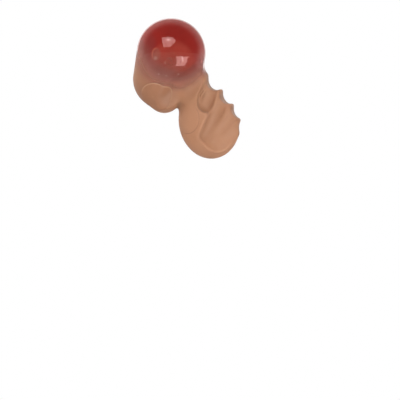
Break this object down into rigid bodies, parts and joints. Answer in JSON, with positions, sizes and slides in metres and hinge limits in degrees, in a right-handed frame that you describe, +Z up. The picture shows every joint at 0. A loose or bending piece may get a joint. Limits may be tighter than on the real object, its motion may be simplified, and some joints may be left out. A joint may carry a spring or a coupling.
{
  "type": "liquid-filled stress ball",
  "caption": "Soft stretchy skin filled with red liquid, in its squeezed shape: one end swells out thin and glossy above the grip, the rest lies in the palm under the fingers.",
  "frame": {"origin": "middle of the neck that the thumb and first finger ring, where the hand holds the ball", "axes": "+Z up, from the palm end towards the swollen end, which is the longest extent; +X across, from the belly beside the thumb towards the fingers; -Y faces the fingertips, and Y is the shortest extent"},
  "size_m": [0.0964, 0.0612, 0.1263],
  "materials": {
    "skin": "satin",
    "liquid": "gloss",
    "air": "gloss",
    "plug": "satin",
    "adhesive": "gloss",
    "patch": "satin"
  },
  "bodies": {
    "root": {"skin": "skin", "liquid_fill": "liquid", "air_bubbles": "air", "filler_plug": "plug", "plug_adhesive": "adhesive", "sealing_patch": "patch"}
  },
  "joints": []
}
